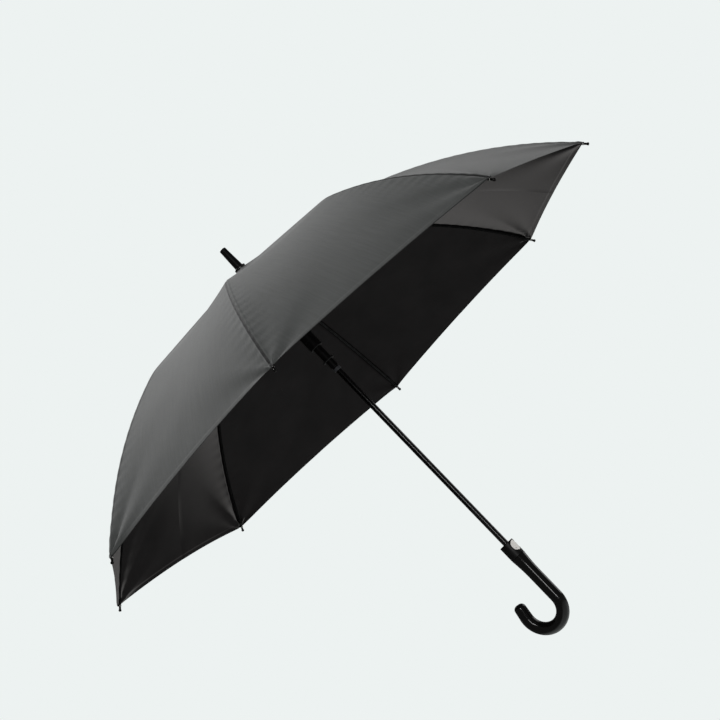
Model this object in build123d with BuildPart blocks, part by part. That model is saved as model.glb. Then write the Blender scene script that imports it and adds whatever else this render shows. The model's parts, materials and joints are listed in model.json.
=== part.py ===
from build123d import *

# Automatic stick umbrella: eight folding ribs and a cloth canopy, a sprung runner on a slotted tube,
# a push-button catch and a J crook handle. It is modelled open.
#
# Millimetres. The origin is on the shaft's axis, at the seam between the button housing and the crook.
# +Z runs up the shaft to the ferrule, the crook bends towards -X and the button faces +X.
# "Height" is a place along Z, "radius" a distance from the shaft's axis.

import os
from math import cos, degrees, radians, sin, tan

os.makedirs("parts", exist_ok=True)

# ---------------------------------------------------------------- driving dimensions
rib_count = 8
first_azimuth = 22.5
rib_inner_length = 256.0  # notch hinge to knee; the stretcher is as long
rib_outer_length = 328.0  # knee to the end of the rib, along its bend
rib_slope = 12.6  # inner rib below level when open, degrees
knee_bend = 10.3  # how much steeper the outer rib leaves the knee, degrees
rib_bend = 25.0  # how far the outer rib turns between knee and tip, degrees
folded_lean = 3.5  # inner rib from plumb when folded, degrees
rib_width = 3.2
rib_height = 3.0
channel_wall = 0.6
tongue_thickness = 1.4
rivet_radius = 0.7
rivet_head_rim = 0.6
rivet_head_height = 0.45
tip_length = 11.0
tip_radius = 1.9
tip_bead_rim = 0.5
tip_bead_length = 3.0
spigot_radius = 0.9  # pin at the rib's end, inside the tip
spigot_length = 6.0

shaft_radius = 5.0
shaft_wall = 0.8
running_clearance = 0.05
hub_wall = 1.6
wire_radius = 0.6
ring_overhang = 3.5  # notch and runner ring beyond the hinge wire
notch_top_wall = 1.4  # of the notch, above its hinge wire
notch_ring_depth = 4.4  # of the notch's ring, below its hinge wire
notch_taper = 1.6
notch_length = 16.0  # of the notch, below its hinge wire
shaft_foot = -65.0
shaft_above_crown = 38.0

runner_box_length = 56.0
runner_box_wall = 6.6
runner_neck_length = 25.8
runner_neck_wall = 2.5
runner_flange_thickness = 2.4
runner_flange_wall = 6.0
runner_tail_length = 14.0
runner_edge_break = 0.5  # bevel on the box's foot and the flange
runner_tail_wall = 1.75
catch_groove_width = 2.7
catch_groove_wall = 0.75
catch_ring_length = 5.0
catch_ring_wall = 1.4
catch_ring_bevel = 0.4
cross_pin_radius = 1.0
pin_inset = 0.4
cross_pin_drop = 12.0  # cross pin below the runner's hinge wire
follower_length = 14.0
plug_length = 12.0
spring_wall = 0.3  # sleeve that stands for the opening spring's coils

collar_height = 26.35
collar_wall = 5.15
button_radius = 9.5
button_travel = 1.7
latch_thickness = 2.2
latch_bite = 0.4
pocket_depth_wall = 0.35  # the button's pocket reaches into the bore by this
return_spring_radius = 1.4
return_spring_wall = 0.5
edge_break = 0.6  # bevel on the housing and crook

grip_radius = 10.3
hook_radius = 33.0  # of the crook's centre line
grip_length = 83.9  # straight part of the crook below the seam
hook_lean = 11.0  # the hook's end leans in by this, degrees
hook_end_length = 24.0
hook_end_radius = 9.5
hook_end_round = 7.5
grip_flare = 0.9  # the crook's shoulder, proud of the grip
shoulder_length = 14.0
flare_length = 34.0
socket_wall = 3.0
socket_depth = 10.0

ferrule_length = 43.0
ferrule_base_wall = 2.0
ferrule_tip_wall = 0.6
ferrule_flange_wall = 5.0
ferrule_flange_thickness = 1.6
ferrule_round = 1.2
washer_thickness = 0.8
washer_inset = 1.0  # washer inside the ferrule's flange

cloth_thickness = 0.5
cloth_rise = 2.5  # underside of the cloth above the ribs' centre line
seam_gap = 0.3
hem_scallop = 4.0
corner_setback = 3.0  # rib end beyond the cloth's corner
crown_hole_gap = 1.2
crown_lift = 4.0  # the cloth rises to the ferrule by this, above the ribs' own line
crown_reach = 60.0  # radius where it meets the ribs' line

strap_width = 18.0
strap_length = 130.0
strap_thickness = 0.8
strap_gap = 0.5
strap_start = 150.0  # from the knee
snap_radius = 6.0
snap_height = 1.6
snap_inset = 12.0  # from the strap's end

# ---------------------------------------------------------------- worked-out places
eye_radius = rib_height / 2
eye_clearance = 0.4
side_clearance = 0.3
seat_clearance = 0.15
wire_clearance = 0.02
cutting_margin = 1.0  # cutters run past the piece by this
hinge_radius = shaft_radius + hub_wall + eye_clearance + eye_radius
ring_radius = hinge_radius + ring_overhang
slot_width = tongue_thickness + 2 * side_clearance

tail_radius = shaft_radius + runner_tail_wall
catch_ring_radius = shaft_radius + catch_ring_wall
tail_clearance = 0.6
collar_bore_radius = tail_radius + tail_clearance
collar_radius = collar_bore_radius + collar_wall
landing_gap = 0.8

# heights on the runner, below its own hinge wire
runner_ring_half = 4.5
runner_shoulder = 1.0
box_foot = -runner_ring_half + runner_shoulder - runner_box_length
neck_foot = box_foot - runner_neck_length
flange_foot = neck_foot - runner_flange_thickness
tail_foot = flange_foot - runner_tail_length
catch_top = tail_foot - catch_groove_width
catch_foot = catch_top - catch_ring_length

runner_folded_height = collar_height + landing_gap - flange_foot
crown_height = runner_folded_height + 2 * rib_inner_length * cos(radians(folded_lean))
runner_height = crown_height - 2 * rib_inner_length * sin(radians(rib_slope))
runner_travel = runner_height - runner_folded_height

knee_radius = hinge_radius + rib_inner_length * cos(radians(rib_slope))
knee_height = crown_height - rib_inner_length * sin(radians(rib_slope))
outer_start = rib_slope + knee_bend
bend_radius = rib_outer_length / radians(rib_bend)
bend_centre = (
    knee_radius - bend_radius * sin(radians(outer_start)),
    knee_height - bend_radius * cos(radians(outer_start)),
)
half_sector = 180 / rib_count


def upright(azimuth):
    """Plane through the shaft's axis: local x is the radius, local y is the height."""
    a = radians(azimuth)
    return Plane(origin=(0, 0, 0), x_dir=(cos(a), sin(a), 0), z_dir=(sin(a), -cos(a), 0))


def member_plane(azimuth, radius, height, slope):
    """Plane in which a rib or stretcher lies: local x runs along it, local y is its back."""
    a, s = radians(azimuth), radians(slope)
    return Plane(
        origin=(radius * cos(a), radius * sin(a), height),
        x_dir=(cos(s) * cos(a), cos(s) * sin(a), sin(s)),
        z_dir=(sin(a), -cos(a), 0),
    )


def on_bend(length, rise=0.0):
    """Radius and height of a point this far along the outer rib, raised off its centre line."""
    angle = radians(outer_start) + length / bend_radius
    reach = bend_radius + rise
    return (bend_centre[0] + reach * sin(angle), bend_centre[1] + reach * cos(angle))


def bend_band(start, end, low, high):
    """Face between two lines that follow the outer rib, drawn on an upright plane."""
    middle = (start + end) / 2
    with BuildSketch() as band:
        with BuildLine():
            ThreePointArc(on_bend(start, high), on_bend(middle, high), on_bend(end, high))
            Line(on_bend(end, high), on_bend(end, low))
            ThreePointArc(on_bend(end, low), on_bend(middle, low), on_bend(start, low))
            Line(on_bend(start, low), on_bend(start, high))
        make_face()
    return band.sketch


def round_bar(start, end, height):
    """Flat bar with round ends, centred on each end."""
    with Locations(((start + end) / 2, 0)):
        SlotCenterToCenter(abs(end - start), height)


def span(start, end, low, high):
    """Rectangle between two lengths and two heights."""
    with Locations(((start + end) / 2, (low + high) / 2)):
        Rectangle(end - start, high - low)


def turned(points):
    """Body turned about the shaft's axis from a closed outline of radius and height."""
    with BuildPart() as body:
        with BuildSketch(Plane.XZ):
            with BuildLine():
                Polyline(*points, close=True)
            make_face()
        revolve(axis=Axis.Z)
    return body.part


def finish(name, part):
    """Label a finished piece and write it out."""
    part.label = name
    export_step(part, "parts/" + name + ".step")


# ---------------------------------------------------------------- ribs
azimuths = [first_azimuth + index * 360 / rib_count for index in range(rib_count)]
hole_radius = rivet_radius + running_clearance
channel_start = 6.0  # keeps a rib's channel clear of the notch
channel_stop = rib_inner_length - eye_radius - 3.0
tongue_length = 14.0
fork_inside = tongue_thickness / 2 + 0.1
fork_eye_radius = eye_radius + 0.3
knee_pocket = eye_radius + 1.7
fork_web = 2.0  # solid bridge behind the outer rib's fork
stretcher_inside = rib_width / 2 + seat_clearance
stretcher_half = stretcher_inside + 0.65
strut_start = 10.0  # keeps a stretcher's channel clear of the runner
strut_tongue = tongue_length + 2.0
fork_depth = 14.0

for number, azimuth in enumerate(azimuths, start=1):
    # inner rib: a channel open below, with a flat tongue and an eye at both ends
    along = member_plane(azimuth, hinge_radius, crown_height, -rib_slope)
    with BuildPart() as rib:
        with BuildSketch(along):
            span(channel_start, channel_stop, -rib_height / 2, rib_height / 2)
        extrude(amount=rib_width / 2, both=True)
        with BuildSketch(along):
            span(0, rib_inner_length, -rib_height, rib_height / 2 - channel_wall)
        extrude(amount=rib_width / 2 - channel_wall, both=True, mode=Mode.SUBTRACT)
        with BuildSketch(along):
            round_bar(0, tongue_length, rib_height)
            round_bar(rib_inner_length - tongue_length, rib_inner_length, rib_height)
        extrude(amount=tongue_thickness / 2, both=True)
        with BuildSketch(along):
            with Locations((0, 0), (rib_inner_length, 0)):
                Circle(hole_radius)
        extrude(amount=rib_width, both=True, mode=Mode.SUBTRACT)
    finish(f"rib_{number}", rib.part)

    # outer rib: the same channel, bent, with a fork over the inner rib's tongue
    with BuildPart() as rib_outer:
        with BuildSketch(upright(azimuth)):
            add(bend_band(0, rib_outer_length - spigot_length, -rib_height / 2, rib_height / 2))
            with Locations((knee_radius, knee_height)):
                Circle(fork_eye_radius)
        extrude(amount=rib_width / 2, both=True)
        with BuildSketch(upright(azimuth)):
            with Locations((knee_radius, knee_height)):
                Circle(knee_pocket)
        extrude(amount=fork_inside, both=True, mode=Mode.SUBTRACT)
        with BuildSketch(upright(azimuth)):
            add(
                bend_band(
                    knee_pocket + fork_web,
                    rib_outer_length - 2 * spigot_length,
                    -rib_height,
                    rib_height / 2 - channel_wall,
                )
            )
        extrude(amount=rib_width / 2 - channel_wall, both=True, mode=Mode.SUBTRACT)
        with BuildSketch(upright(azimuth)):
            with Locations((knee_radius, knee_height)):
                Circle(hole_radius)
        extrude(amount=rib_width, both=True, mode=Mode.SUBTRACT)
        end_radius, end_height = on_bend(rib_outer_length - spigot_length)
        end_slope = -(outer_start + rib_bend * (1 - spigot_length / rib_outer_length))
        end_plane = member_plane(azimuth, end_radius, end_height, end_slope)
        with BuildSketch(end_plane):
            span(-cutting_margin, spigot_length, 0, spigot_radius)
        revolve(axis=Axis(end_plane.origin, end_plane.x_dir))
    finish(f"rib_outer_{number}", rib_outer.part)

    # rib tip: a turned cap with a bead, pressed over the outer rib's spigot
    with BuildPart() as rib_tip:
        with BuildSketch(end_plane):
            with BuildLine():
                Polyline(
                    (running_clearance, 0),
                    (running_clearance, tip_radius),
                    (tip_length - tip_bead_length - tip_bead_rim, tip_radius),
                    (tip_length - tip_bead_length, tip_radius + tip_bead_rim),
                    (tip_length - 2 * tip_bead_rim, tip_radius + tip_bead_rim),
                    (tip_length, tip_radius - tip_bead_rim),
                    (tip_length, 0),
                    close=True,
                )
            make_face()
        revolve(axis=Axis(end_plane.origin, end_plane.x_dir))
        with BuildSketch(end_plane):
            span(0, spigot_length, 0, spigot_radius)
        revolve(axis=Axis(end_plane.origin, end_plane.x_dir), mode=Mode.SUBTRACT)
    finish(f"rib_tip_{number}", rib_tip.part)

    # stretcher: a wider channel open above, an eye at the runner and a fork round the knee, with its rivet
    strut = member_plane(azimuth, hinge_radius, runner_height, rib_slope)
    with BuildPart() as stretcher:
        with BuildSketch(strut):
            span(strut_start, rib_inner_length, -rib_height / 2, rib_height / 2)
            with Locations((rib_inner_length, 0)):
                Circle(eye_radius)
        extrude(amount=stretcher_half, both=True)
        with BuildSketch(strut):
            span(strut_start / 2, rib_inner_length, channel_wall - rib_height / 2, rib_height)
            span(rib_inner_length - fork_depth, rib_inner_length + rib_height, -rib_height, rib_height)
        extrude(amount=stretcher_inside, both=True, mode=Mode.SUBTRACT)
        with BuildSketch(strut):
            round_bar(0, strut_tongue, rib_height)
        extrude(amount=tongue_thickness / 2, both=True)
        with BuildSketch(strut):
            with Locations((0, 0)):
                Circle(hole_radius)
            with Locations((rib_inner_length, 0)):
                Circle(rivet_radius)
        extrude(amount=stretcher_half * 2, both=True, mode=Mode.SUBTRACT)
        with BuildSketch(strut):
            with Locations((rib_inner_length, 0)):
                Circle(rivet_radius)
        extrude(amount=stretcher_half, both=True)
        for side in (-1, 1):
            with BuildSketch(strut.offset(side * stretcher_half)):
                with Locations((rib_inner_length, 0)):
                    Circle(rivet_radius + rivet_head_rim)
            extrude(amount=side * rivet_head_height)
    finish(f"stretcher_{number}", stretcher.part)

# ---------------------------------------------------------------- canopy
cloth_corner = on_bend(rib_outer_length - corner_setback)[0]
sector_cos = cos(radians(half_sector))
sector_tan = tan(radians(half_sector))
cloth_inside = shaft_radius + crown_hole_gap
blank_margin = 6.0  # the uncut cloth runs past its outline by this
blank_start = cloth_inside / 2
lift_slope = crown_lift / (crown_reach - cloth_inside)


def over_ribs(radius, rise):
    """Height of the ribs' straight line at this radius, raised."""
    slope = radians(rib_slope)
    return crown_height + (hinge_radius - radius) * tan(slope) + rise / cos(slope)


def cloth_line(rise):
    """Start, crown, knee and bend points of a line that follows the ribs, raised, on a panel's middle."""
    start = (blank_start, over_ribs(blank_start, rise) + lift_slope * (crown_reach - blank_start))
    crown = (crown_reach, over_ribs(crown_reach, rise))
    turn = radians(rib_slope + knee_bend / 2)
    miter = rise / cos(radians(knee_bend / 2))
    knee = (knee_radius + miter * sin(turn), knee_height + miter * cos(turn))
    middle = on_bend(rib_outer_length / 2, rise)
    end = on_bend(rib_outer_length + blank_margin, rise)
    return [(radius * sector_cos, height) for radius, height in (start, crown, knee, middle, end)]


for number, azimuth in enumerate(azimuths, start=1):
    # one gore between two ribs, curved from crown to hem and level across, with a hollowed hem
    middle_azimuth = azimuth + half_sector
    under, over = cloth_line(cloth_rise), cloth_line(cloth_rise + cloth_thickness)
    half_gap = seam_gap / 2 / sector_cos
    corner_reach = cloth_corner * sector_cos
    corner_half = corner_reach * sector_tan - half_gap
    inside_half = cloth_inside * sector_tan - half_gap
    with BuildPart() as canopy_panel:
        with BuildSketch(upright(middle_azimuth)):
            with BuildLine():
                Polyline(*over[:3])
                ThreePointArc(*over[2:])
                Line(over[4], under[4])
                ThreePointArc(*under[:1:-1])
                Polyline(*under[2::-1])
                Line(under[0], over[0])
            make_face()
        extrude(amount=corner_half + blank_margin, both=True)
        with BuildSketch(Plane.XY.rotated((0, 0, middle_azimuth))):
            with BuildLine():
                Polyline(
                    (corner_reach, corner_half),
                    (cloth_inside, inside_half),
                    (cloth_inside, -inside_half),
                    (corner_reach, -corner_half),
                )
                ThreePointArc(
                    (corner_reach, -corner_half),
                    (corner_reach - hem_scallop, 0),
                    (corner_reach, corner_half),
                )
            make_face()
        extrude(amount=2 * crown_height, mode=Mode.INTERSECT)
    finish(f"canopy_panel_{number}", canopy_panel.part)

# tie strap along one rib's seam, on the outside of the cloth, with a press stud through its end
strap_azimuth = azimuths[2]
strap_rise = cloth_rise + cloth_thickness + strap_gap
with BuildPart() as tie_strap:
    with BuildSketch(upright(strap_azimuth)):
        add(bend_band(strap_start, strap_start + strap_length, strap_rise, strap_rise + strap_thickness))
    extrude(amount=strap_width / 2, both=True)
finish("tie_strap", tie_strap.part)

snap_place = strap_start + strap_length - snap_inset
snap_seat = on_bend(snap_place, strap_rise + strap_thickness)
snap_slope = -(outer_start + degrees(snap_place / bend_radius))
snap_plane = member_plane(strap_azimuth, *snap_seat, snap_slope)
with BuildPart() as strap_snap:
    with BuildSketch(Plane(origin=snap_plane.origin, x_dir=snap_plane.x_dir, z_dir=snap_plane.y_dir)):
        Circle(snap_radius)
    extrude(amount=snap_height, taper=25)
finish("strap_snap", strap_snap.part)

# ---------------------------------------------------------------- shaft, notch and ferrule
shaft_top = crown_height + shaft_above_crown
cross_pin_height = runner_height - cross_pin_drop
slot_half = cross_pin_radius + seat_clearance
with BuildPart() as shaft:
    with BuildSketch(Plane.XY.offset(shaft_foot)):
        Circle(shaft_radius)
        Circle(shaft_radius - shaft_wall, mode=Mode.SUBTRACT)
    extrude(amount=shaft_top - shaft_foot)
    with BuildSketch(Plane.XZ):
        with Locations((0, cross_pin_height - runner_travel / 2)):
            SlotCenterToCenter(runner_travel + 2 * cutting_margin, 2 * slot_half, rotation=90)
    extrude(amount=shaft_radius + cutting_margin, both=True, mode=Mode.SUBTRACT)
finish("shaft", shaft.part)


def hinge_wire(height, section_radius=wire_radius):
    """Ring of wire on which the ribs or stretchers turn."""
    with BuildPart() as wire:
        with BuildSketch(Plane.XZ):
            with Locations((hinge_radius, height)):
                Circle(section_radius)
        revolve(axis=Axis.Z)
    return wire.part


def hinge_slots(height, low, high):
    """One slot for each rib or stretcher, and the groove that holds their hinge wire."""
    with BuildPart() as cuts:
        for slot_azimuth in azimuths:
            with BuildSketch(upright(slot_azimuth)):
                span(
                    hinge_radius - eye_radius - eye_clearance,
                    ring_radius + cutting_margin,
                    height + low,
                    height + high,
                )
            extrude(amount=slot_width / 2, both=True)
        add(hinge_wire(height, wire_radius + wire_clearance))
    return cuts.part


notch_top = crown_height + notch_top_wall
notch_taper_foot = crown_height - notch_ring_depth - notch_taper
hub_radius = shaft_radius + hub_wall
with BuildPart() as top_notch:
    add(
        turned(
            [
                (shaft_radius, notch_top),
                (ring_radius, notch_top),
                (ring_radius, crown_height - notch_ring_depth),
                (hub_radius, notch_taper_foot),
                (hub_radius, crown_height - notch_length),
                (shaft_radius, crown_height - notch_length),
            ]
        )
    )
    add(
        hinge_slots(crown_height, notch_taper_foot - crown_height - cutting_margin, rib_height),
        mode=Mode.SUBTRACT,
    )
finish("top_notch", top_notch.part)

with BuildPart() as notch_wire:
    add(hinge_wire(crown_height))
finish("notch_wire", notch_wire.part)

washer_foot = over_ribs(cloth_inside, cloth_rise + cloth_thickness) + crown_lift + seat_clearance
ferrule_flange_radius = shaft_radius + ferrule_flange_wall
with BuildPart() as top_washer:
    with BuildSketch(Plane.XY.offset(washer_foot)):
        Circle(ferrule_flange_radius - washer_inset)
        Circle(shaft_radius, mode=Mode.SUBTRACT)
    extrude(amount=washer_thickness)
finish("top_washer", top_washer.part)

ferrule_foot = washer_foot + washer_thickness
ferrule_top = ferrule_foot + ferrule_length
with BuildPart() as ferrule:
    add(
        turned(
            [
                (shaft_radius, ferrule_foot),
                (ferrule_flange_radius, ferrule_foot),
                (ferrule_flange_radius, ferrule_foot + ferrule_flange_thickness),
                (shaft_radius + ferrule_base_wall, ferrule_foot + 2 * ferrule_flange_thickness),
                (shaft_radius + ferrule_tip_wall, ferrule_top),
                (0, ferrule_top),
                (0, shaft_top),
                (shaft_radius, shaft_top),
            ]
        )
    )
    fillet(ferrule.edges().filter_by(GeomType.CIRCLE).group_by(Axis.Z)[-1], radius=ferrule_round)
finish("ferrule", ferrule.part)

# ---------------------------------------------------------------- runner and opening spring
bore = shaft_radius + running_clearance
box_radius = shaft_radius + runner_box_wall
flange_radius = shaft_radius + runner_flange_wall
with BuildPart() as runner:
    add(
        turned(
            [
                (bore, runner_height + runner_ring_half),
                (ring_radius, runner_height + runner_ring_half),
                (ring_radius, runner_height - runner_ring_half + runner_shoulder),
                (box_radius, runner_height - runner_ring_half),
                (box_radius, runner_height + box_foot + runner_edge_break),
                (box_radius - runner_edge_break, runner_height + box_foot),
                (shaft_radius + runner_neck_wall, runner_height + box_foot),
                (shaft_radius + runner_neck_wall, runner_height + neck_foot),
                (flange_radius - runner_edge_break, runner_height + neck_foot),
                (flange_radius, runner_height + neck_foot - runner_edge_break),
                (flange_radius, runner_height + flange_foot + runner_edge_break),
                (flange_radius - runner_edge_break, runner_height + flange_foot),
                (tail_radius, runner_height + flange_foot),
                (tail_radius, runner_height + tail_foot),
                (shaft_radius + catch_groove_wall, runner_height + tail_foot),
                (shaft_radius + catch_groove_wall, runner_height + catch_foot),
                (bore, runner_height + catch_foot),
            ]
        )
    )
    add(
        hinge_slots(runner_height, -eye_radius - eye_clearance, runner_ring_half + cutting_margin),
        mode=Mode.SUBTRACT,
    )
    with BuildSketch(Plane.XZ):
        with Locations((0, cross_pin_height)):
            Circle(cross_pin_radius)
    extrude(amount=box_radius + cutting_margin, both=True, mode=Mode.SUBTRACT)
finish("runner", runner.part)

with BuildPart() as runner_wire:
    add(hinge_wire(runner_height))
finish("runner_wire", runner_wire.part)

with BuildPart() as runner_catch_ring:
    with BuildSketch(Plane.XY.offset(runner_height + catch_foot)):
        Circle(catch_ring_radius)
        Circle(shaft_radius + catch_groove_wall, mode=Mode.SUBTRACT)
    extrude(amount=catch_ring_length)
    chamfer(runner_catch_ring.faces().sort_by(Axis.Z)[0].outer_wire().edges(), length=catch_ring_bevel)
finish("runner_catch_ring", runner_catch_ring.part)

with BuildPart() as runner_cross_pin:
    with BuildSketch(Plane.XZ):
        with Locations((0, cross_pin_height)):
            Circle(cross_pin_radius)
    extrude(amount=box_radius - pin_inset, both=True)
finish("runner_cross_pin", runner_cross_pin.part)

follower_radius = shaft_radius - shaft_wall - running_clearance
follower_foot = cross_pin_height - follower_length / 2
with BuildPart() as spring_follower:
    with BuildSketch(Plane.XY.offset(follower_foot)):
        Circle(follower_radius)
    extrude(amount=follower_length)
    with BuildSketch(Plane.XZ):
        with Locations((0, cross_pin_height)):
            Circle(cross_pin_radius)
    extrude(amount=box_radius, both=True, mode=Mode.SUBTRACT)
finish("spring_follower", spring_follower.part)

plug_top = shaft_foot + plug_length
with BuildPart() as spring_plug:
    with BuildSketch(Plane.XY.offset(plug_top)):
        Circle(shaft_radius - shaft_wall)
    extrude(amount=cutting_margin - plug_length)
finish("spring_plug", spring_plug.part)

spring_radius = follower_radius - seat_clearance
with BuildPart() as opening_spring:
    with BuildSketch(Plane.XY.offset(plug_top)):
        Circle(spring_radius)
        Circle(spring_radius - spring_wall, mode=Mode.SUBTRACT)
    extrude(amount=follower_foot - plug_top - seat_clearance)
finish("opening_spring", opening_spring.part)

# ---------------------------------------------------------------- button housing and catch
socket_radius = shaft_radius + socket_wall
floor_thickness = 1.6
button_top_wall = 1.5
button_proud = 0.9
button_height = collar_height - button_radius - button_top_wall
pocket_floor = collar_bore_radius - pocket_depth_wall
button_back = collar_bore_radius + seat_clearance + button_travel
latch_room = 0.3
latch_foot = runner_folded_height + catch_top + (catch_groove_width - latch_thickness) / 2
latch_radius = collar_radius - 2.7
latch_reach = latch_radius - 0.8
latch_edge = -(catch_ring_radius - latch_bite)
window_far = catch_ring_radius + seat_clearance + button_travel
spring_offset = collar_bore_radius + return_spring_radius - return_spring_wall
spring_seat = 4.2
trim_width = 2 * collar_radius


def return_spring_places():
    """Places of the two return springs on a plane that faces the button."""
    return Locations((-spring_offset, button_height), (spring_offset, button_height))


with BuildPart() as button_housing:
    add(
        turned(
            [
                (collar_bore_radius, collar_height),
                (collar_radius - edge_break, collar_height),
                (collar_radius, collar_height - edge_break),
                (collar_radius, edge_break),
                (collar_radius - edge_break, 0),
                (socket_radius, 0),
                (socket_radius, -socket_depth),
                (shaft_radius, -socket_depth),
                (shaft_radius, floor_thickness),
                (collar_bore_radius, floor_thickness),
            ]
        )
    )
    with BuildSketch(Plane.YZ.offset(pocket_floor)):
        with Locations((0, button_height)):
            Circle(button_radius + seat_clearance)
    extrude(amount=collar_radius, mode=Mode.SUBTRACT)
    with BuildSketch(Plane.YZ.offset(spring_seat)):
        with return_spring_places():
            Circle(return_spring_radius + seat_clearance)
    extrude(amount=collar_radius, mode=Mode.SUBTRACT)
    # room for the latch slider, at rest and pushed in
    with BuildSketch(Plane.XY.offset(latch_foot - latch_room)):
        with Locations((0, 0), (-button_travel, 0)):
            Circle(latch_radius + latch_room)
        with Locations((-latch_reach - button_travel - latch_room - trim_width / 2, 0)):
            Rectangle(trim_width, trim_width, mode=Mode.SUBTRACT)
    extrude(amount=latch_thickness + 2 * latch_room, mode=Mode.SUBTRACT)
finish("button_housing", button_housing.part)

with BuildPart() as push_button:
    with BuildSketch(Plane.YZ.offset(button_back)):
        with Locations((0, button_height)):
            Circle(button_radius)
    extrude(amount=collar_radius)
    with BuildSketch(Plane.XY):
        Circle(collar_radius + button_proud)
    extrude(amount=collar_height, mode=Mode.INTERSECT)
finish("push_button", push_button.part)

with BuildPart() as latch_slider:
    with BuildSketch(Plane.XY.offset(latch_foot)):
        Circle(latch_radius)
        with Locations((-latch_reach - trim_width / 2, 0), (button_back + trim_width / 2, 0)):
            Rectangle(trim_width, trim_width, mode=Mode.SUBTRACT)
        with Locations(((latch_edge + window_far) / 2, 0)):
            Circle((window_far - latch_edge) / 2, mode=Mode.SUBTRACT)
    extrude(amount=latch_thickness)
finish("latch_slider", latch_slider.part)

with BuildPart() as button_springs:
    with BuildSketch(Plane.YZ.offset(spring_seat)):
        with return_spring_places():
            Circle(return_spring_radius)
            Circle(return_spring_radius - return_spring_wall, mode=Mode.SUBTRACT)
    extrude(amount=button_back - spring_seat)
finish("button_springs", button_springs.part)

# ---------------------------------------------------------------- crook handle
hook_centre = (-hook_radius, -grip_length)
hook_turn = 180 + hook_lean
end_angle = radians(hook_turn)
hook_end = (
    hook_centre[0] + hook_radius * cos(end_angle),
    hook_centre[1] - hook_radius * sin(end_angle),
)
tangent = (sin(radians(hook_lean)), cos(radians(hook_lean)))
end_stub = Plane(
    origin=(hook_end[0], 0, hook_end[1]),
    x_dir=(0, 1, 0),
    z_dir=(tangent[0], 0, tangent[1]),
)
with BuildPart() as handle_crook:
    with BuildSketch(Plane.XZ):
        with BuildLine():
            Polyline((0, 0), (collar_radius - edge_break, 0), (collar_radius, -edge_break))
            ThreePointArc(
                (collar_radius, -edge_break),
                (grip_radius + grip_flare, -shoulder_length),
                (grip_radius, -flare_length),
            )
            Line((grip_radius, -flare_length), (grip_radius, -grip_length))
            Line((grip_radius, -grip_length), (0, -grip_length))
            Line((0, -grip_length), (0, 0))
        make_face()
    revolve(axis=Axis.Z)
    with BuildSketch(Plane.XY.offset(-grip_length)):
        Circle(grip_radius)
    revolve(
        axis=Axis((hook_centre[0], 0, hook_centre[1]), (0, 1, 0)),
        revolution_arc=hook_turn,
    )
    with BuildSketch(end_stub):
        Circle(grip_radius)
    with BuildSketch(end_stub.offset(hook_end_length)):
        Circle(hook_end_radius)
    loft()
    hook_face = handle_crook.faces().sort_by_distance(end_stub.offset(hook_end_length).origin)[0]
    fillet(hook_face.edges(), radius=hook_end_round)
    with BuildSketch(Plane.XY):
        Circle(socket_radius)
    extrude(amount=-socket_depth, mode=Mode.SUBTRACT)
    with BuildSketch(Plane.XY):
        Circle(shaft_radius)
    extrude(amount=shaft_foot, mode=Mode.SUBTRACT)
finish("handle_crook", handle_crook.part)

folded_turn = 90 - rib_slope - folded_lean
print("crown", round(crown_height, 2), "runner", round(runner_height, 2), "travel", round(runner_travel, 2))
print("cloth corner radius", round(cloth_corner, 2), "ferrule top", round(ferrule_top, 2))
print("fold range in degrees", round(folded_turn, 3))
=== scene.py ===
import json
from math import atan2, cos, exp, hypot, pi, radians, sin, sqrt

import bmesh
import bpy
from bpy.props import FloatProperty, FloatVectorProperty, PointerProperty
from bpy.types import Operator, Panel, PropertyGroup
from mathutils import Matrix, Vector, noise


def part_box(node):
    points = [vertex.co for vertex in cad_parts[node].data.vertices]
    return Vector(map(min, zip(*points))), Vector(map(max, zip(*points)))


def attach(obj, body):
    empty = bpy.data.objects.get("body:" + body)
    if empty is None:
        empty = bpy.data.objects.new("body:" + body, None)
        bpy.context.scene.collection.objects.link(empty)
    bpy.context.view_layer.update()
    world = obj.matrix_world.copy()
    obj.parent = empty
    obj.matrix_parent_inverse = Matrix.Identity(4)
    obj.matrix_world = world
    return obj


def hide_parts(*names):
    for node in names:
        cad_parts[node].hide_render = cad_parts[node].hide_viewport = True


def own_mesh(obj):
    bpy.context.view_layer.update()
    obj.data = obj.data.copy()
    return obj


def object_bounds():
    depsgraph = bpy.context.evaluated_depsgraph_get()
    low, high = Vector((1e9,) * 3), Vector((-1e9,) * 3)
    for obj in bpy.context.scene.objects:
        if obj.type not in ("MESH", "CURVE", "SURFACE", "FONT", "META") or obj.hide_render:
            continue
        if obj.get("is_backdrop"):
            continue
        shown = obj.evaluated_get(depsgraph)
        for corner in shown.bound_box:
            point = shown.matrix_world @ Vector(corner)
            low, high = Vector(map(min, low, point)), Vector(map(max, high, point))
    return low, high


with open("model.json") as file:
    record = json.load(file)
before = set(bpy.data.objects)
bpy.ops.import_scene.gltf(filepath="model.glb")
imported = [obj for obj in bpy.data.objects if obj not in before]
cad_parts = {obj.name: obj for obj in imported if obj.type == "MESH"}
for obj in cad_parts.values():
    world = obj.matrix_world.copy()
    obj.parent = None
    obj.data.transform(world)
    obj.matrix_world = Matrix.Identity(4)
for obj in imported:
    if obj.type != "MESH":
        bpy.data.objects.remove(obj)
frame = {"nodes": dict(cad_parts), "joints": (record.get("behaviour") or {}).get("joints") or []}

# Stick umbrella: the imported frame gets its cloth, strap, coil springs, button, rib tips, finishes and studio.
# Metres, in the frame's own axes: +Z runs up the shaft, the origin is at the top of the crook.

bl_info = {
    "name": "Stick Umbrella",
    "version": (1, 0, 0),
    "blender": (4, 5, 0),
    "location": "View3D > Sidebar > Umbrella",
    "description": "Clothes and finishes the folding frame of an automatic stick umbrella",
    "category": "Object",
}

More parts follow.
